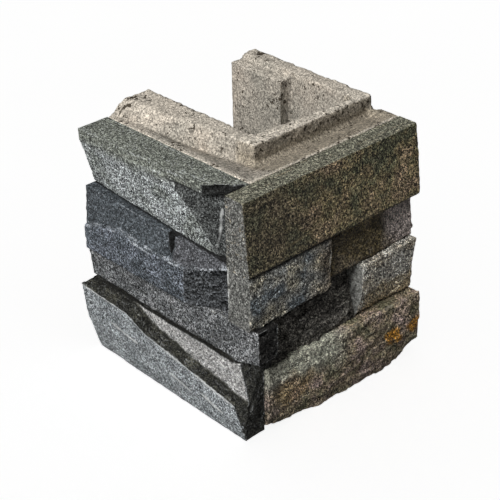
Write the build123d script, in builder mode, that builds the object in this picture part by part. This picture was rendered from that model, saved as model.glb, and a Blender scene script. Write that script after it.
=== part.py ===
from build123d import *
import os

# A hollow corner block for walls: a U-shaped concrete block with split stone on its two outer
# faces. The left wing runs back along Y, the front wing runs along X, and a plain third leg
# stands at the far end of the front wing. Reaches are measured outwards from the concrete,
# runs along a wing are measured from the concrete's outer corner. All sizes are millimetres.

# Concrete block
stone_height = 200          # base to the top bed of the stones
front_wing_length = 157.5
left_wing_length = 158      # the third leg ends level with it
front_wing_thickness = 40   # at the left wing
front_wing_narrow = 31.5    # at the third leg
left_wing_thickness = 42
leg_web = 16.5              # thin part of the third leg, next to the front wing
leg_post = 28               # its thick free end
leg_post_length = 57
hollow_corner_radius = 6

# Tongue on top, which keys into the block laid above
tongue_rise = 10.5          # above the stones
left_tongue_setback = 29.5  # from the outer face, near the corner
left_tongue_far_foot = 3    # at the free end, where its outer face leans back
left_tongue_far_crest = 16
front_tongue_setback = 25.5
leg_tongue_setback = 2.5    # from the outer face of the leg, at the front wing
leg_tongue_far_setback = 0.5
post_tongue_width = 13
post_shoulder_drop = 4      # the inner part of the thick end stops below the tongue
tongue_round = 2

# Channel between the stones and the tongue
channel_depth = 6
channel_rim = 4             # level concrete left beside the stones
channel_floor = 3
end_lip = 7                 # left at the right end
left_channel_run = 135      # where its mouth runs out on the left wing
left_channel_floor_run = 100

# Rebate under the block, which takes the tongue of the block laid below
rebate_clearance = 2

# Bed heights, each shared by the stones above and below it
front_top_bed = 141
front_second_left_bed = 96
front_second_right_bed = 102.5
front_bottom_bed = 55
left_top_bed_far = 150.5
left_top_bed_near = 140
left_second_bed_far = 95
left_third_bed_far = 68
left_third_bed_corner = 59
left_third_bed_end = 68     # past the corner, where its lower edge is broken off

# Upright joints between neighbours of one course, as runs along the front wing
front_second_joint = 61
front_third_joint = 94

# How far the stones that turn the corner run past the concrete
front_top_past_corner = 24.5
front_second_past_corner = 24
left_third_past_corner = 28
left_bottom_past_corner = 20
front_bottom_past_corner = 7

# Left top stone: leans out to its brow, its near end is broken away on a slant under a thin crust
left_top_far_foot = 16.5
left_top_far_crest = 28.5
left_top_near_foot = 18
left_top_near_crest = 24
left_top_brow_height = 191  # upright from here to the crest
left_top_break_root = 6     # stone left against the concrete at the near end
left_top_break_head_run = 53
left_top_break_foot_run = 16
left_top_crust_break_run = 22

# Left second stone: its lower layer stands forward up to a wavy lip, the layer above it has a
# notch, and its near end is broken off on a slant under a roof that rises to the corner
left_second_foot = 30
left_second_far_lip = 31.5
left_second_near_lip = 29.5
left_second_far_crest = 26
left_second_near_crest = 21
left_second_step = 3        # the layer above the lip stands this far back
left_second_step_rise = 1
left_second_far_lip_height = 118.5
left_second_high_lip_run = 115
left_second_high_lip_height = 128
left_second_low_lip_run = 80
left_second_low_lip_height = 123
left_second_near_lip_height = 131
left_second_break_root = 8
left_second_break_run = 38.5
left_second_break_top = 126
left_second_roof_top = 138.5
left_second_roof_run = 1
left_second_notch_run = 62  # middle of its mouth
left_second_notch_width = 8.5
left_second_notch_foot_run = 58
left_second_notch_foot_height = 127
left_second_notch_root = 17

# Left third stone: a thin course that turns the corner
left_third_far_foot = 25
left_third_far_crest = 28
left_third_near_foot = 19
left_third_near_crest = 20

# Left bottom stone: its lower layer stands forward up to a brow that falls towards the corner.
# A ledge leads in from the brow to the upper layer, whose end is broken off at the corner.
left_bottom_far_foot = 23.5
left_bottom_far_brow = 38
left_bottom_far_brow_height = 66.5
left_bottom_far_crest = 25.5
left_bottom_high_brow_run = 106
left_bottom_high_brow = 36
left_bottom_high_brow_height = 61.5
left_bottom_low_brow_run = 87
left_bottom_low_brow = 33.5
left_bottom_low_brow_height = 50
left_bottom_near_foot = 26
left_bottom_near_brow = 30
left_bottom_near_brow_height = 31.5
left_bottom_end_brow_height = 28.5
left_bottom_belly = 2       # bulge of the lower layer, half way up
left_bottom_ledge_rise = 1
left_bottom_band_foot = 22.5
left_bottom_near_crest = 20
left_bottom_end_break_run = 8   # past the corner, at the bed
left_bottom_end_break_root = 8

# Front stones, from the top course down
front_top_foot = 24.5
front_top_crest = 18
front_second_left_foot = 22.5
front_second_left_crest = 23.5
front_second_right_foot = 18
front_second_right_crest = 16
front_third_left_foot = 18.5
front_third_left_crest = 6
front_third_right_foot = 18
front_third_right_brow = 20
front_third_right_crest = 24
front_third_right_brow_height = 76
front_bottom_left_foot = 24
front_bottom_left_brow = 25
front_bottom_left_crest = 24.5
front_bottom_right_foot = 29
front_bottom_right_brow = 31
front_bottom_right_crest = 28
front_bottom_brow_height = 31

# Broken lower corners of the front bottom stone
right_break_run = 37
right_break_height = 14.5
left_break_run = 47
left_break_height = 7
break_depth = 14

# The origin lies under the middle of the whole block, on the base
left_reach = max(left_top_far_crest, left_second_far_lip, left_third_far_crest, left_bottom_far_brow)
front_reach = max(front_bottom_right_brow, front_top_foot, left_third_past_corner)
corner_x = (left_reach - front_wing_length) / 2
corner_y = (front_reach - left_wing_length) / 2
base = Plane((corner_x, corner_y, 0))
left_face = Plane((corner_x, corner_y, 0), x_dir=(0, -1, 0), z_dir=(-1, 0, 0))
front_face = Plane((corner_x, corner_y, 0), x_dir=(1, 0, 0), z_dir=(0, -1, 0))

# Heights and runs that several features share
tongue_top = stone_height + tongue_rise
rebate_depth = tongue_rise + rebate_clearance
leg_web_run = front_wing_length - leg_web
leg_post_run = front_wing_length - leg_post
leg_tongue_run = front_wing_length - leg_tongue_setback
leg_post_start = left_wing_length - leg_post_length


def outline(plane, points):
    """Closed straight-sided outline on a plane."""
    with BuildSketch(plane) as shape:
        with BuildLine():
            Polyline(*points, close=True)
        make_face()
    return shape.sketch


def stone_end(face, run, *front):
    """Profile of a stone across its wing; front lists (reach, height) places from foot to crest."""
    along = Vector(0, run, 0) if face is left_face else Vector(run, 0, 0)
    across = Plane(face.origin + along, x_dir=face.z_dir, z_dir=face.z_dir.cross(Vector(0, 0, 1)))
    return outline(across, [(0, front[0][1]), *front, (0, front[-1][1])])


def left_tongue_foot(run):
    """Setback of the tongue's foot along the left wing."""
    along = (run - front_tongue_setback) / (left_wing_length - front_tongue_setback)
    return left_tongue_setback + along * (left_tongue_far_foot - left_tongue_setback)


def broken_end(height, root, reach, run):
    """Plan of a slanting break at the near end of a left stone, from its root past its face."""
    clear_run = run * (left_reach - root) / (reach - root)
    return outline(base.offset(height), [(-root, 0), (-left_reach, 0), (-left_reach, clear_run)])


def along_left(run, near, far):
    """Size at a run along the left wing that changes evenly between its two ends."""
    return near + (far - near) * max(run, 0) / left_wing_length


def break_plane(face, *places):
    """Plane of a broken corner through three (run, height, reach) places on a stone."""
    start, second, third = [face.from_local_coords(Vector(*place)) for place in places]
    return Plane(start, x_dir=second - start, z_dir=(second - start).cross(third - start))


with BuildPart() as concrete_block:
    with BuildSketch(base) as plan:
        with BuildLine():
            Polyline(
                (0, 0),
                (front_wing_length, 0),
                (front_wing_length, left_wing_length),
                (leg_post_run, left_wing_length),
                (leg_post_run, leg_post_start),
                (leg_web_run, leg_post_start),
                (leg_web_run, front_wing_narrow),
                (left_wing_thickness, front_wing_thickness),
                (left_wing_thickness, left_wing_length),
                (0, left_wing_length),
                close=True,
            )
        make_face()
        left_corner = vertices().sort_by_distance((left_wing_thickness, front_wing_thickness))[0]
        right_corner = vertices().sort_by_distance((leg_web_run, front_wing_narrow))[0]
        fillet([left_corner, right_corner], radius=hollow_corner_radius)
    extrude(amount=tongue_top)

    # Ledge outside the tongue, level with the top of the stones
    def ledge(height, far_setback):
        return outline(base.offset(height), [
            (0, left_wing_length),
            (0, 0),
            (front_wing_length, 0),
            (front_wing_length, left_wing_length),
            (front_wing_length - leg_tongue_far_setback, left_wing_length),
            (leg_tongue_run, front_tongue_setback),
            (left_tongue_setback, front_tongue_setback),
            (far_setback, left_wing_length),
        ])
    ledge_foot = ledge(stone_height, left_tongue_far_foot)
    ledge_head = ledge(tongue_top, left_tongue_far_crest)
    loft(sections=[ledge_foot, ledge_head], ruled=True, mode=Mode.SUBTRACT)

    # Lower shoulder on the inner side of the leg's thick end
    shoulder = outline(base.offset(tongue_top), [
        (leg_post_run, leg_post_start),
        (leg_tongue_run - post_tongue_width, leg_post_start),
        (leg_tongue_run - post_tongue_width, left_wing_length),
        (leg_post_run, left_wing_length),
    ])
    extrude(shoulder, amount=-post_shoulder_drop, mode=Mode.SUBTRACT)
    fillet(edges().group_by(Axis.Z)[-1], radius=tongue_round)

    # Channel that falls from the rim beside the stones to the foot of the tongue
    right_end = front_wing_length - end_lip
    mouth = outline(base.offset(stone_height), [
        (right_end, front_tongue_setback),
        (left_tongue_setback, front_tongue_setback),
        (left_tongue_foot(left_channel_run), left_channel_run),
        (channel_rim, channel_rim),
        (right_end, channel_rim),
    ])
    floor = outline(base.offset(stone_height - channel_depth), [
        (right_end, front_tongue_setback),
        (left_tongue_setback, front_tongue_setback),
        (left_tongue_foot(left_channel_floor_run), left_channel_floor_run),
        (left_tongue_setback - channel_floor, front_tongue_setback - channel_floor),
        (right_end, front_tongue_setback - channel_floor),
    ])
    loft(sections=[mouth, floor], ruled=True, mode=Mode.SUBTRACT)

    # Rebate for the tongue of the block below
    rebate = outline(base, [
        (left_tongue_setback - rebate_clearance, front_tongue_setback - rebate_clearance),
        (front_wing_length, front_tongue_setback - rebate_clearance),
        (front_wing_length, left_wing_length),
        (left_tongue_far_foot - rebate_clearance, left_wing_length),
    ])
    extrude(rebate, amount=rebate_depth, mode=Mode.SUBTRACT)
concrete_block.part.label = "concrete_block"

with BuildPart() as left_top_stone:
    far = stone_end(
        left_face, left_wing_length,
        (left_top_far_foot, left_top_bed_far),
        (left_top_far_crest, left_top_brow_height),
        (left_top_far_crest, stone_height),
    )
    near = stone_end(
        left_face, 0,
        (left_top_near_foot, left_top_bed_near),
        (left_top_near_crest, left_top_brow_height),
        (left_top_near_crest, stone_height),
    )
    loft(sections=[far, near], ruled=True)
    crust = broken_end(left_top_brow_height, 0, left_top_near_crest, left_top_crust_break_run)
    extrude(crust, amount=stone_height - left_top_brow_height, mode=Mode.SUBTRACT)
    head = broken_end(
        left_top_brow_height, left_top_break_root, left_top_near_crest, left_top_break_head_run
    )
    foot = broken_end(left_top_bed_near, left_top_break_root, left_top_near_foot, left_top_break_foot_run)
    loft(sections=[foot, head], ruled=True, mode=Mode.SUBTRACT)
left_top_stone.part.label = "left_top_stone"

with BuildPart() as left_second_stone:
    layers = []
    for run, lip_height in (
        (left_wing_length, left_second_far_lip_height),
        (left_second_high_lip_run, left_second_high_lip_height),
        (left_second_low_lip_run, left_second_low_lip_height),
        (0, left_second_near_lip_height),
    ):
        lip = along_left(run, left_second_near_lip, left_second_far_lip)
        crest = along_left(run, left_second_near_crest, left_second_far_crest)
        layers.append(stone_end(
            left_face, run,
            (left_second_foot, along_left(run, front_second_left_bed, left_second_bed_far)),
            (lip, lip_height),
            (lip - left_second_step, lip_height + left_second_step_rise),
            (crest, along_left(run, left_top_bed_near, left_top_bed_far)),
        ))
    loft(sections=layers, ruled=True)
    foot = broken_end(
        left_second_bed_far, left_second_break_root, left_second_near_lip, left_second_break_run
    )
    extrude(foot, amount=left_second_break_top - left_second_bed_far, mode=Mode.SUBTRACT)
    eaves = broken_end(
        left_second_break_top, left_second_break_root, left_second_near_lip, left_second_break_run
    )
    peak = broken_end(
        left_second_roof_top, left_second_break_root, left_second_near_lip, left_second_roof_run
    )
    loft(sections=[eaves, peak], ruled=True, mode=Mode.SUBTRACT)
    notch = outline(left_face.offset(left_second_notch_root), [
        (-left_second_notch_run - left_second_notch_width / 2, left_top_bed_far),
        (-left_second_notch_foot_run, left_second_notch_foot_height),
        (-left_second_notch_run + left_second_notch_width / 2, left_top_bed_far),
    ])
    extrude(notch, amount=left_reach, mode=Mode.SUBTRACT)
left_second_stone.part.label = "left_second_stone"

with BuildPart() as left_third_stone:
    far = stone_end(
        left_face, left_wing_length,
        (left_third_far_foot, left_third_bed_far),
        (left_third_far_crest, left_second_bed_far),
    )
    corner = stone_end(
        left_face, 0,
        (left_third_near_foot, left_third_bed_corner),
        (left_third_near_crest, front_second_left_bed),
    )
    near = stone_end(
        left_face, -left_third_past_corner,
        (left_third_near_foot, left_third_bed_end),
        (left_third_near_crest, front_second_left_bed),
    )
    loft(sections=[far, corner, near], ruled=True)
left_third_stone.part.label = "left_third_stone"

with BuildPart() as left_bottom_stone:
    end_share = left_bottom_past_corner / left_third_past_corner
    end_bed = left_third_bed_corner + (left_third_bed_end - left_third_bed_corner) * end_share
    layers = []
    for run, brow, brow_height, bed in (
        (left_wing_length, left_bottom_far_brow, left_bottom_far_brow_height, left_third_bed_far),
        (left_bottom_high_brow_run, left_bottom_high_brow, left_bottom_high_brow_height, None),
        (left_bottom_low_brow_run, left_bottom_low_brow, left_bottom_low_brow_height, None),
        (0, left_bottom_near_brow, left_bottom_near_brow_height, left_third_bed_corner),
        (-left_bottom_past_corner, left_bottom_near_brow, left_bottom_end_brow_height, end_bed),
    ):
        foot = along_left(run, left_bottom_near_foot, left_bottom_far_foot)
        bed = bed or along_left(run, left_third_bed_corner, left_third_bed_far)
        layers.append(stone_end(
            left_face, run,
            (foot, 0),
            ((foot + brow) / 2 + left_bottom_belly, brow_height / 2),
            (brow, brow_height),
            (
                along_left(run, left_bottom_band_foot, left_bottom_far_crest),
                brow_height + left_bottom_ledge_rise,
            ),
            (along_left(run, left_bottom_near_crest, left_bottom_far_crest), bed),
        ))
    loft(sections=layers, ruled=True)
    end_break = break_plane(
        left_face,
        (left_bottom_end_break_run, left_third_bed_corner, left_bottom_near_crest),
        (left_bottom_past_corner, left_bottom_end_brow_height, left_bottom_band_foot),
        (left_bottom_past_corner, end_bed, left_bottom_end_break_root),
    )
    split(bisect_by=end_break, keep=Keep.BOTTOM)
    # Seat for the end of the front bottom stone
    seat = outline(left_face, [
        (0, 0),
        (left_bottom_past_corner, 0),
        (left_bottom_past_corner, front_bottom_bed),
        (0, front_bottom_bed),
    ])
    extrude(seat, amount=front_bottom_past_corner, mode=Mode.SUBTRACT)
left_bottom_stone.part.label = "left_bottom_stone"

with BuildPart() as front_top_stone:
    left = stone_end(
        front_face, -front_top_past_corner,
        (front_top_foot, front_top_bed),
        (front_top_crest, stone_height),
    )
    right = stone_end(
        front_face, front_wing_length,
        (front_top_foot, front_top_bed),
        (front_top_crest, stone_height),
    )
    loft(sections=[left, right], ruled=True)
front_top_stone.part.label = "front_top_stone"

with BuildPart() as front_second_left_stone:
    left = stone_end(
        front_face, -front_second_past_corner,
        (front_second_left_foot, front_second_left_bed),
        (front_second_left_crest, front_top_bed),
    )
    right = stone_end(
        front_face, front_second_joint,
        (front_second_left_foot, front_second_left_bed),
        (front_second_left_crest, front_top_bed),
    )
    loft(sections=[left, right], ruled=True)
front_second_left_stone.part.label = "front_second_left_stone"

with BuildPart() as front_second_right_stone:
    left = stone_end(
        front_face, front_second_joint,
        (front_second_right_foot, front_second_right_bed),
        (front_second_right_crest, front_top_bed),
    )
    right = stone_end(
        front_face, front_wing_length,
        (front_second_right_foot, front_second_right_bed),
        (front_second_right_crest, front_top_bed),
    )
    loft(sections=[left, right], ruled=True)
front_second_right_stone.part.label = "front_second_right_stone"

with BuildPart() as front_third_left_stone:
    left = stone_end(
        front_face, 0,
        (front_third_left_foot, front_bottom_bed),
        (front_third_left_crest, front_second_left_bed),
    )
    right = stone_end(
        front_face, front_third_joint,
        (front_third_left_foot, front_bottom_bed),
        (front_third_left_crest, front_second_left_bed),
    )
    loft(sections=[left, right], ruled=True)
front_third_left_stone.part.label = "front_third_left_stone"

with BuildPart() as front_third_right_stone:
    left = stone_end(
        front_face, front_third_joint,
        (front_third_right_foot, front_bottom_bed),
        (front_third_right_crest, front_third_right_brow_height),
        (front_third_right_crest, front_second_right_bed),
    )
    right = stone_end(
        front_face, front_wing_length,
        (front_third_right_foot, front_bottom_bed),
        (front_third_right_brow, front_third_right_brow_height),
        (front_third_right_crest, front_second_right_bed),
    )
    loft(sections=[left, right], ruled=True)
front_third_right_stone.part.label = "front_third_right_stone"

with BuildPart() as front_bottom_stone:
    left = stone_end(
        front_face, -front_bottom_past_corner,
        (front_bottom_left_foot, 0),
        (front_bottom_left_brow, front_bottom_brow_height),
        (front_bottom_left_crest, front_bottom_bed),
    )
    right = stone_end(
        front_face, front_wing_length,
        (front_bottom_right_foot, 0),
        (front_bottom_right_brow, front_bottom_brow_height),
        (front_bottom_right_crest, front_bottom_bed),
    )
    loft(sections=[left, right], ruled=True)
    right_break = break_plane(
        front_face,
        (front_wing_length - right_break_run, 0, front_bottom_right_foot),
        (front_wing_length, right_break_height, front_bottom_right_brow),
        (front_wing_length, 0, break_depth),
    )
    split(bisect_by=right_break, keep=Keep.TOP)
    left_break = break_plane(
        front_face,
        (left_break_run - front_bottom_past_corner, 0, front_bottom_left_foot),
        (-front_bottom_past_corner, 0, break_depth),
        (-front_bottom_past_corner, left_break_height, front_bottom_left_foot),
    )
    split(bisect_by=left_break, keep=Keep.TOP)
front_bottom_stone.part.label = "front_bottom_stone"

os.makedirs("parts", exist_ok=True)
for piece in (
    concrete_block,
    left_top_stone,
    left_second_stone,
    left_third_stone,
    left_bottom_stone,
    front_top_stone,
    front_second_left_stone,
    front_second_right_stone,
    front_third_left_stone,
    front_third_right_stone,
    front_bottom_stone,
):
    export_step(piece.part, f"parts/{piece.part.label}.step")
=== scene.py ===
"""A concrete corner block faced with split stone, standing on a white studio sweep."""
from math import cos, radians, sin

import bmesh
import bpy
import numpy as np
from mathutils import Matrix, Vector


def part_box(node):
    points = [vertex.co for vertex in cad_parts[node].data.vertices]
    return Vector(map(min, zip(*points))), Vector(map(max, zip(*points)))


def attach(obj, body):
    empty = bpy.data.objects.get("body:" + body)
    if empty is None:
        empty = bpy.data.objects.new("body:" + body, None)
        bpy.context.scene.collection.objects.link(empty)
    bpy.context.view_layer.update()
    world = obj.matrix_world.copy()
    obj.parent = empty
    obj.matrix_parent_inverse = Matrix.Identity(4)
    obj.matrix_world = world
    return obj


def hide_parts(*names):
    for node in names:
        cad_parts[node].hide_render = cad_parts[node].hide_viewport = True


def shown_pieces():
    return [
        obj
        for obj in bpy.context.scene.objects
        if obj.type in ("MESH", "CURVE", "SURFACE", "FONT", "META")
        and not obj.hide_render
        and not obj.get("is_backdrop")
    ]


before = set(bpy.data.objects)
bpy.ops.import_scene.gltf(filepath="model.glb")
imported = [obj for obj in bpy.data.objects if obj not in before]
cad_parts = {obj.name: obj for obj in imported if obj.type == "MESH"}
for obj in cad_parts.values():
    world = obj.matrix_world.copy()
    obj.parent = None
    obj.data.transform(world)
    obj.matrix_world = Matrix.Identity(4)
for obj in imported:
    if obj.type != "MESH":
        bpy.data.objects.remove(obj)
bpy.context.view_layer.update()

mm = 0.001
# The concrete's outer corner on the floor. Each wing is worked in its own millimetres:
# run along the wing, reach out of the concrete, height above the floor.
corner = np.array(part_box("concrete_block")[0]) / mm
wings = {
    "left": np.array([(0, 1, 0), (-1, 0, 0), (0, 0, 1)], float),
    "front": np.array([(1, 0, 0), (0, -1, 0), (0, 0, 1)], float),
}
course_top = 200    # height of the stones; the tongue stands above it
sawn_run = 150      # past this run come the sawn ends of both wings
foot_height = 1     # below this height a stone stands on the floor
arris_angle = radians(35)    # an edge that turns more than this can be chipped
crease_angle = radians(32)   # an edge that turns more than this is drawn sharp

# What a skin can be marked with: broken dark stone, a second pale face, brown stain, rust, quartz,
# the top bed, stone dust on struck edges, and painted shade in creases, joints and under overhangs
all_marks = ("broken", "pale", "stain", "rust", "quartz", "top", "crushed", "seam")


# Chance of stone and sand, the same on every run

def dice(cells, seed):
    """A number from 0 to 1 for each whole-number cell, stirred by large odd multipliers."""
    keys = cells.astype(np.int64).astype(np.uint64)
    mixed = keys[:, 0] * np.uint64(0x9E3779B97F4A7C15) + np.uint64(seed * 7919 + 17)
    for column in (1, 2):
        mixed = (mixed ^ (mixed >> np.uint64(29))) * np.uint64(0xBF58476D1CE4E5B9)
        mixed = mixed + keys[:, column] * np.uint64(0x94D049BB133111EB)
    mixed = (mixed ^ (mixed >> np.uint64(32))) * np.uint64(0xD6E8FEB86659FD93)
    return ((mixed >> np.uint64(40)) & np.uint64(0xFFFF)).astype(float) / 0xFFFF


def lumps(spots, size, seed):
    """Smooth swells from -1 to 1, about one to each `size` millimetres."""
    grid = spots / size
    cell = np.floor(grid)
    part = grid - cell
    part = part * part * (3 - 2 * part)
    total = np.zeros(len(spots))
    for step in np.ndindex(2, 2, 2):
        share = np.prod(np.where(step, part, 1 - part), axis=1)
        total += share * dice(cell + step, seed)
    return 2 * total - 1


def flakes(spots, size, seed):
    """Flat broken facets: each has its own depth and lean, from -1 to 1."""
    grid = spots / size
    cell = np.floor(grid)
    nearest = np.full(len(spots), np.inf)
    depth = np.zeros(len(spots))
    for step in np.ndindex(3, 3, 3):
        near = cell + step - 1
        centre = near + np.stack([dice(near, seed + k) for k in range(3)], axis=1)
        apart = grid - centre
        gap = (apart ** 2).sum(axis=1)
        lean = np.stack([dice(near, seed + k) for k in range(3, 6)], axis=1) - 0.5
        own = dice(near, seed + 6) - 0.5 + (lean * apart).sum(axis=1)
        closer = gap < nearest
        nearest = np.where(closer, gap, nearest)
        depth = np.where(closer, own, depth)
    return 2 * depth


def ease(value, low, high):
    """0 below low, 1 above high, smooth between."""
    part = np.clip((value - low) / (high - low), 0, 1)
    return part * part * (3 - 2 * part)


def on_line(value, *stops):
    """Height of a broken line over a run, from (run, height) stops."""
    stops = sorted(stops)
    return np.interp(value, [s[0] for s in stops], [s[1] for s in stops])


def off_line(spots, start, end):
    """How far each spot lies from the straight line between two places."""
    along = end - start
    part = np.clip((spots - start) @ along / (along @ along), 0, 1)
    return np.linalg.norm(spots - start - part[:, None] * along, axis=1)


class Stone:
    """A piece while it is dressed: its skin in wing millimetres and the marks for its colours."""

    def __init__(self, node, wing, seed, grid=1.0):
        self.node, self.wing, self.seed = node, wings[wing], seed
        blank = bpy.data.objects.new(node + "_blank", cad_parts[node].data.copy())
        bpy.context.scene.collection.objects.link(blank)
        form = bmesh.new()
        form.from_mesh(blank.data)
        bmesh.ops.remove_doubles(form, verts=form.verts, dist=0.01 * mm)
        # Each sharp edge as its two ends and the way it points out
        self.arrises = []
        for edge in form.edges:
            if len(edge.link_faces) == 2 and edge.calc_face_angle_signed() > arris_angle:
                outward = edge.link_faces[0].normal + edge.link_faces[1].normal
                ends = [self.in_wing(vert.co) for vert in edge.verts]
                self.arrises.append((*ends, np.array(outward.normalized()) @ self.wing.T))
        form.free()
        skin = blank.modifiers.new("skin", "REMESH")
        skin.mode, skin.voxel_size = "VOXEL", grid * mm
        ready = blank.evaluated_get(bpy.context.evaluated_depsgraph_get())
        self.mesh = bpy.data.meshes.new_from_object(ready)
        self.mesh.name = node + "_skin"
        bpy.data.objects.remove(blank)
        places = np.empty(len(self.mesh.vertices) * 3)
        self.mesh.vertices.foreach_get("co", places)
        self.spots = self.in_wing(places.reshape(-1, 3))
        self.marks = {}
        self.sawn_end = self.spots[:, 0].max()
        self.settle()

    def in_wing(self, places):
        """Places in the frame's metres as run, reach and height in millimetres."""
        return (np.array(places) / mm - corner) @ self.wing.T

    def settle(self):
        """Writes the skin back, held to floor and sawn end, and reads which way it now faces."""
        self.spots[:, 0] = np.minimum(self.spots[:, 0], self.sawn_end)
        self.spots[:, 2] = np.maximum(self.spots[:, 2], 0)
        places = (self.spots @ self.wing + corner) * mm
        self.mesh.vertices.foreach_set("co", places.astype(np.float32).ravel())
        self.mesh.update()
        facing = np.empty(len(self.spots) * 3, np.float32)
        self.mesh.vertex_normals.foreach_get("vector", facing)
        self.facing = facing.reshape(-1, 3) @ self.wing.T
        return self

    def knock_edges(self, spacing, depth, widest=12):
        """Chips along the sharp edges, each a shallow shell; sawn ends and feet get small ones."""
        luck = np.random.default_rng(self.seed * 31)
        for start, end, outward in self.arrises:
            length = np.linalg.norm(end - start)
            for _ in range(int(length / spacing + luck.random())):
                spot = start + (end - start) * luck.random()
                bite = depth * (0.25 + luck.random() ** 3 * 2)
                bite *= 0.3 if spot[0] > sawn_run or spot[2] < foot_height else 1
                radius = luck.uniform(0.25, 1) * widest + bite
                lean = outward + luck.normal(0, 0.35, 3)
                lean /= np.linalg.norm(lean)
                # A blow from further round would dig a pit into a face
                lean = lean if lean @ outward > 0.9 else outward
                self.bite(spot + lean * (radius - bite), radius, luck.integers(1000))
        return self.settle()

    def bite(self, centre, radius, seed):
        """Presses the skin back with a rough ball, which leaves a hollow like a struck shell."""
        apart = self.spots - centre
        far = np.linalg.norm(apart, axis=1)
        near = (far < radius * 1.15) & ((apart * self.facing).sum(axis=1) < 0)
        rough = radius * (1 + 0.035 * lumps(self.spots[near], 3.5, seed))
        push = np.maximum(rough - far[near], 0) / np.maximum(far[near], 1e-6)
        self.spots[near] += apart[near] * push[:, None]

    def wear_foot(self, depth=1.2, width=2.6):
        """Rounds the lower edges off, which opens the joint below them, and paints shadow into it.
        """
        for start, end, outward in self.arrises:
            on_floor = max(start[2], end[2]) < foot_height
            if outward[2] > -0.4 or outward[1] < 0.1 or on_floor:
                continue
            near = np.clip(1 - off_line(self.spots, start, end) / width, 0, 1)
            self.spots -= outward * (depth * near ** 2)[:, None]
            # Painted shadow under the rounded lower edge
            self.mark("seam", 0.9 * ease(near, 0.3, 0.7))
        return self.settle()

    def roughen(self, swell, step, grain, facet=0):
        """Split relief: swells, jumps between layers, facets and grit. Beds only lose stone."""
        seed, spots = self.seed, self.spots
        # The layers run longer along the wing than up it
        laid = spots / (2.4, 1, 1)
        rise = swell * (lumps(laid, 26, seed) + 0.45 * lumps(laid, 10, seed + 1))
        layer = 2.1 * lumps(laid, 22, seed + 2) + 0.8 * lumps(laid, 7, seed + 3)
        whole = np.floor(layer)
        rise += step * (whole + ease(layer - whole, 0.8, 1.0) + 0.5)
        if facet:
            rise += facet * flakes(spots, (17, 9, 9), seed + 20)
            rise += 0.45 * facet * flakes(spots, (7, 4.5, 4.5), seed + 40)
        rise += grain * (lumps(spots, 4.2, seed + 4) + 0.7 * lumps(spots, 2.1, seed + 5))
        run, reach, height = self.facing.T
        shown = ease(reach, 0.2, 0.6)
        bed = np.maximum(ease(abs(height), 0.5, 0.85), ease(abs(run), 0.5, 0.85)) * (1 - shown)
        bed *= 1 - 0.7 * ease(spots[:, 0], sawn_run, sawn_run + 4)
        loss = 0.5 * bed * (0.5 + 0.5 * lumps(spots, 6, seed + 6))
        self.spots += self.facing * (rise * shown - loss)[:, None]
        return self.settle()

    def tear(self, where, depth, size, seed):
        """Breaks the marked skin into flat facets, large ones and small ones on them."""
        facet = flakes(self.spots, size, seed)
        facet += 0.5 * flakes(self.spots, np.array(size) * 0.4, seed + 7)
        self.spots += self.facing * (where * depth * (facet - 0.5))[:, None]
        return self.settle()

    def mark(self, name, amount):
        """A colour mark on the skin; of two marks with one name the stronger shows."""
        self.marks[name] = np.maximum(self.marks.get(name, 0), np.clip(amount, 0, 1))
        return self

    def stroke(self, start, end, width, wear=0.6):
        """1 along a straight stroke between two (run, height) places, worn thin here and there."""
        apart = off_line(self.spots[:, [0, 2]], np.array(start, float), np.array(end, float))
        apart = apart + 0.35 * lumps(self.spots, 5, self.seed + 60)
        faint = 1 - wear * (0.7 - lumps(self.spots, 6, self.seed + 61))
        return (1 - ease(apart, width * 0.4, width * 0.4 + 0.8)) * np.clip(faint, 0, 1)

    def dust(self):
        """Marks sharp outer edges, where the blow left pale stone dust, and paints shade into inner
        ones.
        """
        count = len(self.spots)
        ends = np.empty(len(self.mesh.edges) * 2, np.int32)
        self.mesh.edges.foreach_get("vertices", ends)
        one, other = ends.reshape(-1, 2).T
        around, links = np.zeros((count, 3)), np.zeros(count)
        for here, there in ((one, other), (other, one)):
            np.add.at(around, here, self.spots[there])
            np.add.at(links, here, 1)
        bulge = ((self.spots - around / links[:, None]) * self.facing).sum(axis=1)
        whole = 1 - 0.7 * self.marks.get("broken", 0)
        self.mark("crushed", ease(bulge, 0.08, 0.3) * whole)
        # Inner creases get painted shade
        self.mark("seam", 0.7 * ease(-bulge, 0.1, 0.35))

    def finish(self, name, material, slot):
        """Hands the dressed skin over as a piece that stands for its CAD node."""
        self.dust()
        for mark in all_marks:
            layer = self.mesh.attributes.new(mark, "FLOAT", "POINT")
            values = np.broadcast_to(self.marks.get(mark, 0.0), len(self.spots))
            layer.data.foreach_set("value", values.astype(np.float32))
        self.mesh.shade_smooth()
        self.mesh.set_sharp_from_angle(angle=crease_angle)
        self.mesh.materials.clear()
        self.mesh.materials.append(material)
        piece = bpy.data.objects.new(name, self.mesh)
        bpy.context.scene.collection.objects.link(piece)
        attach(piece, "root")
        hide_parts(self.node)


# Materials

mineral_ior = 1.5     # quartz, mica and cement paste lie close to this
gritty_gloss = 0.2    # grit shades most of its own gloss
overlay = {"data_type": "RGBA"}    # a Mix node that lays one colour over another


def linear(code):
    """An sRGB hex colour as linear light."""
    parts = [int(code[k:k + 2], 16) / 255 for k in (1, 3, 5)]
    light = [p / 12.92 if p <= 0.04045 else ((p + 0.055) / 1.055) ** 2.4 for p in parts]
    return (*light, 1.0)


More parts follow.
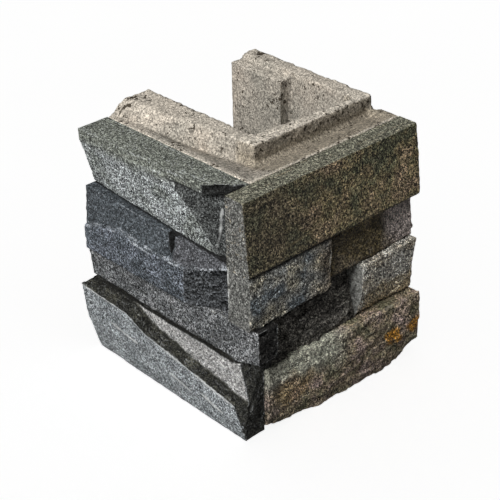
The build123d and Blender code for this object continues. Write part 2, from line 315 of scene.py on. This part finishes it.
def add(tree, kind, settings=(), **feeds):
    """Adds a node. Settings are its own values, feeds fill or join its sockets.

    A socket goes by its name or by its number, as in0. A node that is fed gives its first output.
    """
    node = tree.nodes.new("ShaderNode" + kind)
    for key, value in dict(settings).items():
        if key != "stops":
            setattr(node, key, value)
            continue
        band = node.color_ramp.elements
        while len(band) < len(value):
            band.new(0.5)
        for element, (place, tint) in zip(band, value):
            element.position = place
            element.color = linear(tint) if isinstance(tint, str) else (tint, tint, tint, 1)
    for key, value in feeds.items():
        named = [s for s in node.inputs if s.enabled and s.name == key.replace("_", " ")]
        socket = named[0] if named else node.inputs[int(key[2:])]
        if isinstance(value, bpy.types.Node):
            value = next(s for s in value.outputs if s.enabled)
        if isinstance(value, bpy.types.NodeSocket):
            tree.links.new(value, socket)
        else:
            socket.default_value = value
    return node


def per_mm(size):
    """Pattern scale that repeats every `size` millimetres."""
    return 1 / (size * mm)


def new_material(name):
    """An empty material, its tree, its marks and the place that its patterns are laid on."""
    material = bpy.data.materials.new(name)
    material.use_nodes = True
    tree = material.node_tree
    tree.nodes.clear()
    marks = {mark: add(tree, "Attribute", {"attribute_name": mark}).outputs["Fac"]
             for mark in all_marks}
    return material, tree, marks, add(tree, "TexCoord").outputs["Object"]


def shaded(tree, colour, pattern, stray, soft=0.2):
    """Colour that strays darker and lighter with a pattern, evenly as the eye sees it."""
    factor = add(tree, "MapRange", Value=pattern, From_Min=0.5 - soft, From_Max=0.5 + soft,
                 To_Min=1 - stray, To_Max=1 + stray)
    factor = add(tree, "Math", {"operation": "POWER"}, in0=factor, in1=2.0)
    return add(tree, "VectorMath", {"operation": "SCALE"}, in0=colour, Scale=factor)


def split_stone(name, wing, body, dark, light, broken, pale="#777777", stain="#6b5636",
                top="#777777", scratch=None, fleck="#b4b4ae", shade_tint="#12110e", fleck_share=0.01,
                pit_share=0.06, streak=0.1, mottle=0.12, grit=0.85, dusty=0.5, calm=0.4,
                vein="#e2e3e1"):
    """Slate or quartzite split with a blade: matt and gritty, with glinting mica and painted shade
    in pits.

    The body drifts from dark to light. Broken, pale, stain and top colour the marked faces, scratch
    the pale rubbed layers, vein the quartz. Streak, mottle and grit say how far layers, patches and
    grains stray from that, dusty how pale struck edges are, calm how much speckle clean faces lack.
    """
    material, tree, marks, spot = new_material(name)
    # The body colour drifts over a centimetre or two, between the marked faces
    cloud = add(tree, "TexNoise", Vector=spot, Scale=per_mm(18), Detail=4.0, Roughness=0.55)
    drift = ((0.38, dark), (0.5, body), (0.62, light))
    colour = add(tree, "ValToRGB", {"stops": drift}, Fac=cloud)
    for mark, tint in (("top", top), ("pale", pale), ("stain", stain)):
        colour = add(tree, "Mix", overlay, Factor=marks[mark], A=colour, B=linear(tint))
    # Cleavage shows as streaks along the wing, a few millimetres apart
    along = (0.07, 1, 1) if wing == "front" else (1, 0.07, 1)
    laid = add(tree, "Mapping", Vector=spot, Scale=along)
    line = add(tree, "TexNoise", Vector=laid, Scale=per_mm(3.4), Detail=4.0, Roughness=0.65)
    colour = shaded(tree, colour, line, streak)
    if scratch:
        thin = add(tree, "TexNoise", Vector=laid, Scale=per_mm(2.6), Detail=3.0, Roughness=0.6)
        worn = add(tree, "ValToRGB", {"stops": ((0.6, 0.0), (0.68, 0.6))}, Fac=thin)
        colour = add(tree, "Mix", overlay, Factor=worn, A=colour, B=linear(scratch))
    colour = add(tree, "Mix", overlay, Factor=marks["broken"], A=colour, B=linear(broken))
    blotch = add(tree, "TexNoise", Vector=spot, Scale=per_mm(5.5), Detail=5.0, Roughness=0.65)
    colour = shaded(tree, colour, blotch, mottle)
    # Iron blooms in ochre and brown, in spots of about five millimetres
    bloom = add(tree, "TexNoise", Vector=spot, Scale=per_mm(5), Detail=6.0, Roughness=0.7)
    ochres = ((0.3, "#6f5129"), (0.5, "#c38826"), (0.7, "#e9a838"))
    iron = add(tree, "ValToRGB", {"stops": ochres}, Fac=bloom)
    colour = add(tree, "Mix", overlay, Factor=marks["rust"], A=colour, B=iron)
    # The grains are a third of a millimetre, drawn two to three times as wide so that they show
    sand = add(tree, "TexNoise", Vector=spot, Scale=per_mm(2.0), Detail=2.0, Roughness=0.7)
    colour = shaded(tree, colour, sand, 0.3 * grit, soft=0.14)
    grain = add(tree, "TexVoronoi", {"feature": "F1"}, Vector=spot, Scale=per_mm(0.85),
                Randomness=1.0)
    luck = add(tree, "SeparateColor", Color=grain.outputs["Color"])
    clean = add(tree, "Math", {"operation": "MAXIMUM"}, in0=marks["pale"], in1=marks["top"])
    clean = add(tree, "Math", {"operation": "MULTIPLY"}, in0=clean, in1=calm)
    speck = add(tree, "Mix", {"data_type": "FLOAT"}, Factor=clean, A=luck.outputs["Blue"], B=0.5)
    colour = shaded(tree, colour, speck, grit, soft=0.5)
    # A few grains are mica, which shows on whole faces only, and some are pits, painted dark as
    # their shade
    whole = add(tree, "Math", {"operation": "SUBTRACT"}, in0=1.0, in1=marks["broken"])
    bright = ((1 - fleck_share - 0.01, 0.0), (1 - fleck_share, 0.7))
    mica = add(tree, "ValToRGB", {"stops": bright}, Fac=luck)
    mica = add(tree, "Math", {"operation": "MULTIPLY"}, in0=mica, in1=whole)
    colour = add(tree, "Mix", overlay, Factor=mica, A=colour, B=linear(fleck))
    deep = ((1 - pit_share - 0.01, 0.0), (1 - pit_share, 0.8))
    pit_shade = add(tree, "ValToRGB", {"stops": deep}, Fac=luck.outputs["Green"])
    colour = add(tree, "Mix", overlay, Factor=pit_shade, A=colour, B=linear(shade_tint))
    # Dust on struck edges, painted shade in seams and under overhangs, white quartz
    dust = add(tree, "MapRange", Value=luck.outputs["Green"], From_Min=0.35, From_Max=0.65,
               To_Max=dusty)
    for mark, share, tint in (("crushed", dust, fleck), ("seam", 0.8, shade_tint), ("quartz", 1.0, vein)):
        some = add(tree, "Math", {"operation": "MULTIPLY"}, in0=marks[mark], in1=share)
        colour = add(tree, "Mix", overlay, Factor=some, A=colour, B=linear(tint))
    # Split stone is rough, its mica half as rough
    rough = add(tree, "ValToRGB", {"stops": ((0.0, 0.88), (1.0, 0.45))}, Fac=mica)
    # Relief under a millimetre or so: grit and the torn edges of the layers
    height = add(tree, "Math", {"operation": "ADD"}, in0=sand, in1=line)
    height = add(tree, "Math", {"operation": "MULTIPLY_ADD"}, in0=grain, in1=-0.7, in2=height)
    bump = add(tree, "Bump", Strength=1.0, Distance=1.5 * mm, Height=height)
    stone = add(tree, "BsdfPrincipled", Base_Color=colour, Roughness=rough, IOR=mineral_ior,
                Specular_IOR_Level=gritty_gloss, Normal=bump)
    add(tree, "OutputMaterial", Surface=stone)
    return material


def dry_cast_concrete():
    """Dry-cast concrete: warm grey, sandy and dead matt, with pores a millimetre or two wide."""
    material, tree, marks, spot = new_material("dry_cast_concrete")
    cloud = add(tree, "TexNoise", Vector=spot, Scale=per_mm(40), Detail=4.0, Roughness=0.55)
    drift = ((0.34, "#8d887e"), (0.5, "#9a9388"), (0.66, "#a79d90"))
    colour = add(tree, "ValToRGB", {"stops": drift}, Fac=cloud)
    # The stain tint here is painted shade on the front wing; top is the pale crest and rim
    for mark, tint in (("stain", "#847b6b"), ("top", "#b9b1a4")):
        colour = add(tree, "Mix", overlay, Factor=marks[mark], A=colour, B=linear(tint))
    blotch = add(tree, "TexNoise", Vector=spot, Scale=per_mm(7), Detail=5.0, Roughness=0.65)
    colour = shaded(tree, colour, blotch, 0.08)
    sand = add(tree, "TexNoise", Vector=spot, Scale=per_mm(2.0), Detail=2.0, Roughness=0.7)
    colour = shaded(tree, colour, sand, 0.14, soft=0.16)
    # Sand grains are half a millimetre, drawn about twice as wide so that they show
    grain = add(tree, "TexVoronoi", {"feature": "F1"}, Vector=spot, Scale=per_mm(1.0),
                Randomness=1.0)
    luck = add(tree, "SeparateColor", Color=grain.outputs["Color"])
    colour = shaded(tree, colour, luck.outputs["Blue"], 0.3, soft=0.5)
    # Pores gather in patches, as the dry mix left them; the shade in them is painted dark
    pore = add(tree, "TexNoise", Vector=spot, Scale=per_mm(3.6), Detail=2.0, Roughness=0.6)
    patch = add(tree, "TexNoise", Vector=spot, Scale=per_mm(24), Detail=2.0)
    pore = add(tree, "Math", {"operation": "MULTIPLY_ADD"}, in0=patch, in1=0.5, in2=pore)
    hole = add(tree, "ValToRGB", {"stops": ((0.89, 0.0), (0.93, 1.0))}, Fac=pore)
    colour = add(tree, "Mix", overlay, Factor=hole, A=colour, B=linear("#443d33"))
    shade = add(tree, "Math", {"operation": "MULTIPLY"}, in0=marks["seam"], in1=0.25)
    colour = add(tree, "Mix", overlay, Factor=shade, A=colour, B=linear("#4f483d"))
    height = add(tree, "Math", {"operation": "SUBTRACT"}, in0=sand, in1=hole)
    height = add(tree, "Math", {"operation": "MULTIPLY_ADD"}, in0=grain, in1=-0.4, in2=height)
    bump = add(tree, "Bump", Strength=0.8, Distance=1.0 * mm, Height=height)
    skin = add(tree, "BsdfPrincipled", Base_Color=colour, Roughness=0.93, IOR=mineral_ior,
               Specular_IOR_Level=gritty_gloss, Normal=bump)
    add(tree, "OutputMaterial", Surface=skin)
    return material


def white_acrylic_sweep():
    """Sanded white acrylic lit from below: matt and nearly white, hardly a shadow stays on it."""
    material, tree, _, spot = new_material("white_acrylic_sweep")
    haze = add(tree, "TexNoise", Vector=spot, Scale=per_mm(300), Detail=2.0)
    whites = ((0.3, "#f4f4f3"), (0.7, "#fafaf9"))
    colour = add(tree, "ValToRGB", {"stops": whites}, Fac=haze)
    skin = add(tree, "BsdfPrincipled", Base_Color=colour, Roughness=0.95,
               Emission_Color=linear("#ffffff"), Emission_Strength=0.86)
    add(tree, "OutputMaterial", Surface=skin)
    return material


# The single stones, in run, reach and height millimetres

def left_top():
    """Pale quartzite; its near end is broken away in dark slabs under a thin crust."""
    stone = Stone("left_top_stone", "left", 11, grid=0.8)
    run, reach, height = stone.knock_edges(14, 0.35, widest=8).wear_foot().spots.T.copy()
    # The break slants away from the corner as it rises, and stops under the crust
    crust_foot, crust_top = 190.8, 199.2
    slant = (40.7 + 49.1 * (height - 140) / 51) * (reach - 6) / 30.5
    opened = np.where(height < crust_foot, slant, 22 * reach / 24)
    gone = ease(opened + 1.6 - run, 0, 1.0) * ease(crust_top - height, 0, 0.6) * ease(reach, 2, 4)
    stone.roughen(0.6, 0.3, 0.2).tear(gone, 0.8, (26, 14, 20), 70)
    top = ease(height + 3 * lumps(stone.spots, 14, 2), 183, 194) * (1 - gone)
    # Under the crust the break is torn finer and painted with shade
    under = gone * ease(height, 188, 191)
    stone.tear(under, 1.2, (7, 6, 5), 77)
    stone.mark("broken", gone).mark("top", top).mark("seam", under)
    stone.mark("quartz", 0.8 * stone.stroke((15.5, 178.5), (18.4, 148), 0.8) * gone)
    # Quartzite split with a blade: pale and sugary, full of mica, dull and dark where it broke
    stone.finish("left_top_split", split_stone(
        "grey_quartzite_split", "left", body="#888c8b", dark="#747874", light="#999d9d",
        broken="#474948", top="#74776f", scratch="#a6aaa8", fleck="#d5d9d9", fleck_share=0.02,
        streak=0.07, mottle=0.05), "grey_quartzite")


def left_second():
    """Blue-black slate; the lower layer stands forward and the near end is broken off below."""
    stone = Stone("left_second_stone", "left", 23, grid=0.8)
    run, reach, height = stone.knock_edges(12, 0.4, widest=8).wear_foot().spots.T.copy()
    shown = ease(stone.facing[:, 1], 0.3, 0.6)
    lip = on_line(run, (158, 118.5), (115, 128), (80, 123), (0, 131))
    upper = ease(height - lip, 0, 1)
    broken_run = 38.5 * np.clip((138.5 - height) / 12.5, 0.03, 1) * (reach - 8) / 21.5
    gone = ease(broken_run + 1.6 - run, 0, 1) * ease(139.5 - height, 0, 1) * ease(reach, 3, 5)
    # A notch in the upper layer, wider at its top
    notch_foot = 127
    climb = np.clip((height - notch_foot) / 23.5, 0, 1)
    notch = 1 - ease(abs(run - 58 - 4 * climb) - 4.25 * climb, 0.3, 1.0)
    notch *= ease(height, notch_foot, notch_foot + 2) * ease(reach, 8, 12)
    stone.roughen(0.5, 0.4, 0.2).tear(gone, 1.7, (10, 6, 5), 90)
    stone.mark("broken", np.maximum(gone, notch)).mark("top", upper)
    stone.mark("pale", ease(57 - run, 0, 2) * upper * (1 - notch) * (1 - gone))
    # The lip and the rim of the break are crumbled pale
    ragged = abs(height - lip + 2.2 * lumps(stone.spots, 5, 5))
    crumb = (1 - ease(ragged, 0.6, 2.0)) * shown * (1 - gone)
    crumb *= ease(lumps(stone.spots, 9, 9), -0.7, 0.3)
    beyond = 0.3 * abs(run - broken_run) + lumps(stone.spots, 4, 6)
    rim = (1 - ease(beyond, 0.8, 2.4)) * ease(reach, 15, 20)
    rim *= ease(height, 124.5, 126) * ease(141 - height, 0, 2)
    stone.mark("crushed", np.maximum(crumb, rim))
    # Painted shadow on the top bed under the first stone's foot, and painted shade in the notch
    joint_shadow = ease(stone.facing[:, 2], 0.5, 0.8) * (1 - ease(reach - 18 + run / 105, 0.2, 1.6))
    stone.mark("seam", np.maximum(joint_shadow, 0.9 * notch))
    # Blue slate split along its layers: dark and cold, hardly a glint, pale where it crumbled
    stone.finish("left_second_split", split_stone(
        "blue_slate_split", "left", body="#555a60", dark="#464b50", light="#646971",
        broken="#3f4143", pale="#535457", top="#4b5054", fleck="#c6cbd0", fleck_share=0.005,
        dusty=1.0), "blue_slate")


def left_third():
    """Thin grey slate course; its end round the corner is dark."""
    stone = Stone("left_third_stone", "left", 37, grid=0.8).knock_edges(10, 0.5, widest=8)
    end = ease(-stone.facing[:, 0], 0.4, 0.7) * ease(5 - stone.spots[:, 0], 0, 10)
    stone.roughen(0.5, 0.4, 0.25, facet=0.3).tear(end, 1.2, (8, 8, 6), 44)
    run, reach, height = stone.spots.T
    # The lower edge falls to the corner; it is worn back, with painted shadow along it
    above = height - on_line(run, (158, 68), (0, 59))
    reach -= 3.5 * (1 - ease(above, 0, 3)) * ease(run, 0, 6)
    stone.settle()
    joint_shadow = 1 - ease(above + 1.2 * lumps(stone.spots, 9, 8), 2.4, 4.8)
    stone.mark("seam", joint_shadow * ease(run, 0, 6))
    ledge = ease(stone.facing[:, 2], 0.5, 0.8) * ease(-18 - run, 0, 3)
    stone.mark("broken", np.maximum(end, ledge))
    # Grey slate split with a blade: an even gritty grey, near black across its layers
    stone.finish("left_third_split", split_stone(
        "grey_slate_split_left", "left", body="#626465", dark="#525354", light="#747576",
        broken="#21201f"), "grey_slate")


def left_bottom():
    """Pale slate; its lower layer stands forward of a dark broken ledge, its end is black."""
    stone = Stone("left_bottom_stone", "left", 41, grid=0.8).knock_edges(12, 0.35, widest=8)
    # Blows along the upright edge at the corner
    for level, depth, radius in ((25, 1.6, 5), (17, 2.4, 7), (9, 1.8, 5), (3, 1.2, 4)):
        beside = abs(stone.spots[:, 2] - level) < 1.5
        slice_run, slice_reach, _ = stone.spots[beside & (stone.spots[:, 0] < -10)].T
        edge = np.array((slice_run.min(), slice_reach.max(), level))
        stone.bite(edge + np.array((-0.7, 0.7, 0.1)) * (radius - depth), radius, 60 + level)
    run, reach, height = stone.settle().spots.T.copy()
    brow = on_line(run, (158, 66.5), (106, 61.5), (87, 50), (0, 31.5), (-20, 28.5))
    ledge = ease(stone.facing[:, 2], 0.45, 0.75) * ease(height, 20, 26)
    end = ease(-stone.facing[:, 0], 0.3, 0.6) * ease(2 - run, 0, 4)
    torn = np.maximum(ledge, end)
    stone.roughen(0.45, 0.3, 0.15).tear(torn * ease(height, 1, 9), 1.0, (12, 8, 9), 55)
    # Dirt lies on the ledge and in the crease behind it
    crease = 1 - ease(height - brow - 1 + 2 * lumps(stone.spots, 6, 16), 1.5, 5)
    crease = np.maximum(ledge, crease * ease(height - brow, -0.3, 0.6))
    dirt = ease(lumps(stone.spots, 7, 17) + 0.7 * lumps(stone.spots, 3, 18), -0.9, 0.4)
    stone.mark("stain", crease).mark("broken", np.maximum((0.55 + 0.45 * dirt) * crease, end))
    # Pale lines on the brow and where the layers below it have started to part
    face = ease(stone.facing[:, 1], 0.4, 0.7) * (1 - torn)
    bare = (1 - ease(brow - height, 0.8, 2.2)) * (1 - ease(height - brow, 0, 1))
    bare *= ease(lumps(stone.spots * (1, 0.1, 0.1), 9, 21), -0.7, 0.3)
    stone.mark("quartz", 0.75 * bare * face)
    for high, low in (((24, 35.6), (-4, 29.8)), ((24, 23), (2, 16.5)),
                      ((127, 41), (98, 35)), ((60, 24), (38, 19))):
        stone.mark("quartz", 0.85 * stone.stroke(high, low, 1.5, wear=0.3) * face)
    # A thin painted contact shadow along the foot
    stone.mark("seam", 0.5 * (1 - ease(height, 0.8, 2)) * face)
    stone.mark("pale", ease(height - brow - 1, 0, 1) * (1 - torn))
    # Painted shadow on the joint under the third stone
    gap = 1 - ease(reach - 19 - run / 26 + lumps(stone.spots, 9, 20), 1.5, 4)
    stone.mark("seam", gap * ease(stone.facing[:, 2], 0.4, 0.7) * ease(height, 50, 54))
    # Pale slate split along its layers: silver grey and finely streaked, black across its layers
    stone.finish("left_bottom_split", split_stone(
        "pale_slate_split", "left", body="#8f9395", dark="#828789", light="#9a9fa1",
        broken="#2d2d29", pale="#a4a3a1", stain="#5a594f", scratch="#b4b8b9", fleck="#d0d3d4",
        streak=0.12, mottle=0.05, grit=0.65, dusty=0.7), "pale_slate")


def front_top():
    """A flat brown bed face of slate with a pale sawn end at the corner."""
    stone = Stone("front_top_stone", "front", 53, grid=0.8)
    stone.knock_edges(12, 0.2, widest=8).wear_foot(1.6, 3.4).roughen(0.35, 0.3, 0.2)
    face = ease(stone.facing[:, 1], 0.5, 0.8)
    stone.mark("pale", ease(-stone.facing[:, 0], 0.5, 0.8))
    stone.mark("top", ease(stone.facing[:, 2], 0.6, 0.85))
    darker = ease(70 + 25 * lumps(stone.spots, 24, 3) - stone.spots[:, 0], 0, 60)
    stone.mark("stain", 0.7 * darker * face)
    for start, end in (((38, 161), (104, 178)), ((6, 151), (60, 157)), ((70, 150), (118, 160))):
        stone.mark("quartz", 0.35 * stone.stroke(start, end, 1.2) * face)
    # A natural bed face of slate, weathered: brown, coarse and pitted, with faint ochre lines
    stone.finish("front_top_split", split_stone(
        "brown_slate_bed_face", "front", body="#786c50", dark="#5a5a45", light="#87765f",
        broken="#33302b", pale="#72726e", top="#7b7a6b", stain="#484538", scratch="#8a7c63",
        fleck="#a69c86", pit_share=0.18, mottle=0.2, grit=0.95, dusty=0.3, vein="#b5a27c"),
        "brown_slate")


def front_second_left():
    """Grey slate that turns the corner; it browns towards its neighbour."""
    stone = Stone("front_second_left_stone", "front", 61, grid=0.8)
    stone.knock_edges(10, 0.5, widest=8).wear_foot().roughen(0.5, 0.5, 0.3, facet=0.5)
    run, reach, height = stone.spots.T
    stone.mark("pale", ease(-stone.facing[:, 0], 0.5, 0.8) * ease(-run, 0, 10))
    stone.mark("stain", 0.6 * ease(run + 10 * lumps(stone.spots, 14, 4), 36, 58))
    # Painted shadow along the top edge, under the stone above
    stone.mark("seam", ease(height - height.max(), -2.6, -1) * ease(run, -24, -20))
    # Its back edge is laid bare where the second stone of the left wing is broken off
    bare = (1 - ease(reach, 1, 2.6)) * ease(-22 - run, 0, 1) * ease(height, 107, 110)
    stone.mark("quartz", 0.85 * bare * ease(lumps(stone.spots, 4, 7), -0.6, 0.2))
    # Grey slate split rough: light and blue-grey patches with many pits
    stone.finish("front_second_left_split", split_stone(
        "grey_slate_split_second", "front", body="#989790", dark="#6c7377", light="#b0aa98",
        broken="#3a3733", pale="#747470", pit_share=0.15, mottle=0.18, grit=0.8), "grey_slate")


def front_second_right():
    """Brown slate set back; its right end is purple-grey."""
    stone = Stone("front_second_right_stone", "front", 67)
    stone.knock_edges(10, 0.5, widest=8).wear_foot().roughen(0.8, 0.7, 0.35, facet=0.5)
    run, _, height = stone.spots.T
    stone.mark("pale", ease(run + 10 * lumps(stone.spots, 12, 5), 118, 140))
    # Painted shadow along the top edge, under the stone above
    stone.mark("seam", ease(height - height.max(), -2.6, -1))
    # Brown slate split rough: earthy and dull, many pits
    stone.finish("front_second_right_split", split_stone(
        "brown_slate_split", "front", body="#675c42", dark="#514835", light="#796e5b",
        broken="#302d29", pale="#bdb1ab", fleck="#9c968c", pit_share=0.15, mottle=0.18, grit=0.8),
        "brown_slate")


def front_third_left():
    """Black slate broken across its layers, far back in the wall."""
    stone = Stone("front_third_left_stone", "front", 71).knock_edges(8, 1.2)
    stone.roughen(1.2, 1.2, 0.4, facet=1.6)
    # Black slate broken with a hammer: sharp dark facets, with the layers as strong streaks
    stone.finish("front_third_left_split", split_stone(
        "black_slate_broken", "front", body="#605d58", dark="#4d4b46", light="#726f68",
        broken="#504e49", scratch="#8d8a84", fleck="#8a867e", pit_share=0.2, streak=0.3,
        mottle=0.22, grit=0.85), "black_slate")


def front_third_right():
    """Grey slate block that stands forward: pale end, brown lower half."""
    stone = Stone("front_third_right_stone", "front", 79, grid=0.7)
    stone.knock_edges(12, 0.3, widest=8).wear_foot().roughen(0.5, 0.5, 0.25, facet=0.3)
    run, _, height = stone.spots.T
    stone.mark("pale", ease(-stone.facing[:, 0], 0.5, 0.8))
    lower = ease(78 + 5 * lumps(stone.spots, 10, 6) - height, 0, 8)
    stone.mark("stain", 0.55 * lower * ease(run, 98, 104))
    # Grey slate split with a blade: light and patchy, with a clean smooth end and dusty edges
    stone.finish("front_third_right_split", split_stone(
        "grey_slate_split_third", "front", body="#bcb7ac", dark="#aba292", light="#ccc9c0",
        broken="#3a3733", stain="#b29d74", pale="#8e8e89", fleck="#dddcd5", pit_share=0.08,
        mottle=0.26, dusty=1.0, calm=0.8), "grey_slate")


def front_bottom():
    """Long rusty slate with broken lower corners."""
    stone = Stone("front_bottom_stone", "front", 83).knock_edges(10, 0.8)
    stone.roughen(0.9, 0.7, 0.35, facet=0.7)
    run, _, height = stone.spots.T
    for place, size in (((125.7, 30, 26.5), 8), ((150, 30, 28), 7), ((134, 30, 22), 4)):
        apart = np.linalg.norm((stone.spots - place) * (1, 0.5, 1), axis=1)
        apart += 3 * lumps(stone.spots, 6, 12) + 2 * lumps(stone.spots, 2.5, 16)
        stone.mark("rust", 0.9 * (1 - ease(apart, size - 4, size + 3)))
    apart = np.linalg.norm((stone.spots - (18, 26, 30)) * (0.55, 0.4, 1), axis=1)
    stone.mark("stain", 0.55 * (1 - ease(apart + 5 * lumps(stone.spots, 9, 13), 6, 16)))
    # Painted shade, darker towards the floor
    foot = 1 - ease(height + 4 * lumps(stone.spots, 8, 17), 4, 16)
    stone.mark("seam", 0.45 * foot * ease(run, 30, 60))
    upper = ease(height + 6 * lumps(stone.spots, 13, 15), 24, 46)
    stone.mark("pale", upper * ease(85 - run, 0, 30))
    stone.mark("broken", 0.55 * ease(6 - run + 2 * lumps(stone.spots, 7, 14), 0, 3))
    # Slate split rough and stained by its own iron: warm grey with ochre spots
    stone.finish("front_bottom_split", split_stone(
        "rusty_slate_split", "front", body="#968771", dark="#75715a", light="#a6938a",
        broken="#3a3732", stain="#ab8f64", pale="#bfbfae", fleck="#c4bdad", pit_share=0.12,
        streak=0.06, mottle=0.16, grit=0.75), "rusty_slate")


def cast_block():
    """A dry casting with ragged arrises; the faces under the stones stay flat."""
    block = Stone("concrete_block", "left", 97, grid=1.5).knock_edges(5, 0.6, widest=4)
    run, reach, height = block.spots.T
    rise = 0.12 * lumps(block.spots, 11, 100) + 0.12 * lumps(block.spots, 5, 101)
    rise += 0.25 * lumps(block.spots, 2.6, 102)
    crumbs = 0.3 * lumps(block.spots, 6, 103) + 0.45 * lumps(block.spots, 3.4, 104)
    rise += ease(height, course_top + 1, course_top + 6) * crumbs
    covered = np.maximum(ease(reach + 1.5, 0, 1), ease(1.5 - run, 0, 1))
    covered *= ease(course_top - 1 - height, 0, 2)
    rise = np.where(height < 1.5, np.minimum(rise, 0) * 0.3, rise) * (1 - covered)
    block.spots += block.facing * rise[:, None]
    block.settle()
    # The front wing's tongue gets painted shade, but for its crest; the rim behind the stones is
    # pale
    front = ease(45 - run, 0, 6)
    crest = ease(block.facing[:, 2], 0.5, 0.8) * ease(height, course_top + 4, course_top + 7)
    darker = 0.75 - 0.25 * ease(height, course_top + 1, course_top + 3)
    block.mark("stain", darker * front * ease(-20 - reach, 0, 8) * (1 - crest))
    rim = np.maximum(ease(reach, -2.4, -1), ease(-run, -2.4, -1))
    rim *= ease(height, course_top - 3, course_top - 1)
    block.mark("top", np.maximum((0.6 + 0.35 * front) * crest, 0.8 * rim))
    block.finish("cast_block", dry_cast_concrete(), "concrete")


for dress in (cast_block, left_top, left_second, left_third, left_bottom, front_top,
              front_second_left, front_second_right, front_third_left, front_third_right,
              front_bottom):
    dress()


# Studio: white sweep, one large soft light from the upper left, white surroundings

sweep = bpy.data.meshes.new("sweep")
form = bmesh.new()
bmesh.ops.create_grid(form, x_segments=8, y_segments=8, size=6.0)
form.to_mesh(sweep)
form.free()
sweep.materials.append(white_acrylic_sweep())
floor = bpy.data.objects.new("sweep", sweep)
bpy.context.scene.collection.objects.link(floor)
floor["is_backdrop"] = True
# The sweep lights itself and throws nothing back on the stone
floor.visible_diffuse = False

# The room is white to the camera and gives the stone only a little light
world = bpy.data.worlds.new("white_room")
bpy.context.scene.world = world
world.use_nodes = True
room = world.node_tree
room.nodes.clear()
fill = add(room, "Background", Color=linear("#ffffff"), Strength=0.14)
backdrop = add(room, "Background", Color=linear("#ffffff"), Strength=1.0)
seen = add(room, "LightPath").outputs["Is Camera Ray"]
add(room, "OutputWorld", Surface=add(room, "MixShader", in0=seen, in1=fill, in2=backdrop))


def softbox(name, place, aim, size, power, lit):
    """A round soft light for the listed pieces only."""
    lamp = bpy.data.lights.new(name, "AREA")
    lamp.shape, lamp.size, lamp.energy = "DISK", size, power
    holder = bpy.data.objects.new(name, lamp)
    place = Vector(place)
    turn = (place - Vector(aim)).to_track_quat("Z", "Y").to_matrix().to_4x4()
    holder.matrix_world = Matrix.Translation(place) @ turn
    bpy.context.scene.collection.objects.link(holder)
    group = bpy.data.collections.new(name + "_lights")
    for piece in lit:
        group.objects.link(piece)
    holder.light_linking.receiver_collection = group


softbox("left_softbox", place=(-1.8, -0.35, 1.75), aim=(0, 0, 0.1), size=1.1, power=82,
        lit=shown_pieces())


def photo_camera():
    """The photograph's own camera: angle, distance and lens were worked out from the edges."""
    turn, tilt, roll = radians(-43.128), radians(30.223), radians(1.014)
    aim, distance = Vector((-5.636, -4.95, 100)) * mm, 1114.397 * mm
    photo_width, focal_length = 500, 1426.886    # in pixels of the photograph
    sensor_width = 36                            # millimetres, the common full frame
    away = Vector((sin(turn) * cos(tilt), -cos(turn) * cos(tilt), sin(tilt)))
    right = Vector((cos(turn), sin(turn), 0))
    down = right.cross(away)
    side = right * cos(roll) + down * sin(roll)
    drop = down * cos(roll) - right * sin(roll)
    lens = bpy.data.cameras.new("photo_camera")
    lens.sensor_fit, lens.sensor_width = "HORIZONTAL", sensor_width
    lens.lens = focal_length * sensor_width / photo_width
    lens.clip_start, lens.clip_end = 0.05, 60
    holder = bpy.data.objects.new("photo_camera", lens)
    stand = Matrix.Translation(aim + away * distance)
    holder.matrix_world = stand @ Matrix((side, -drop, away)).transposed().to_4x4()
    bpy.context.scene.collection.objects.link(holder)
    bpy.context.scene.camera = holder


photo_camera()
bpy.context.scene.view_settings.view_transform = "Standard"
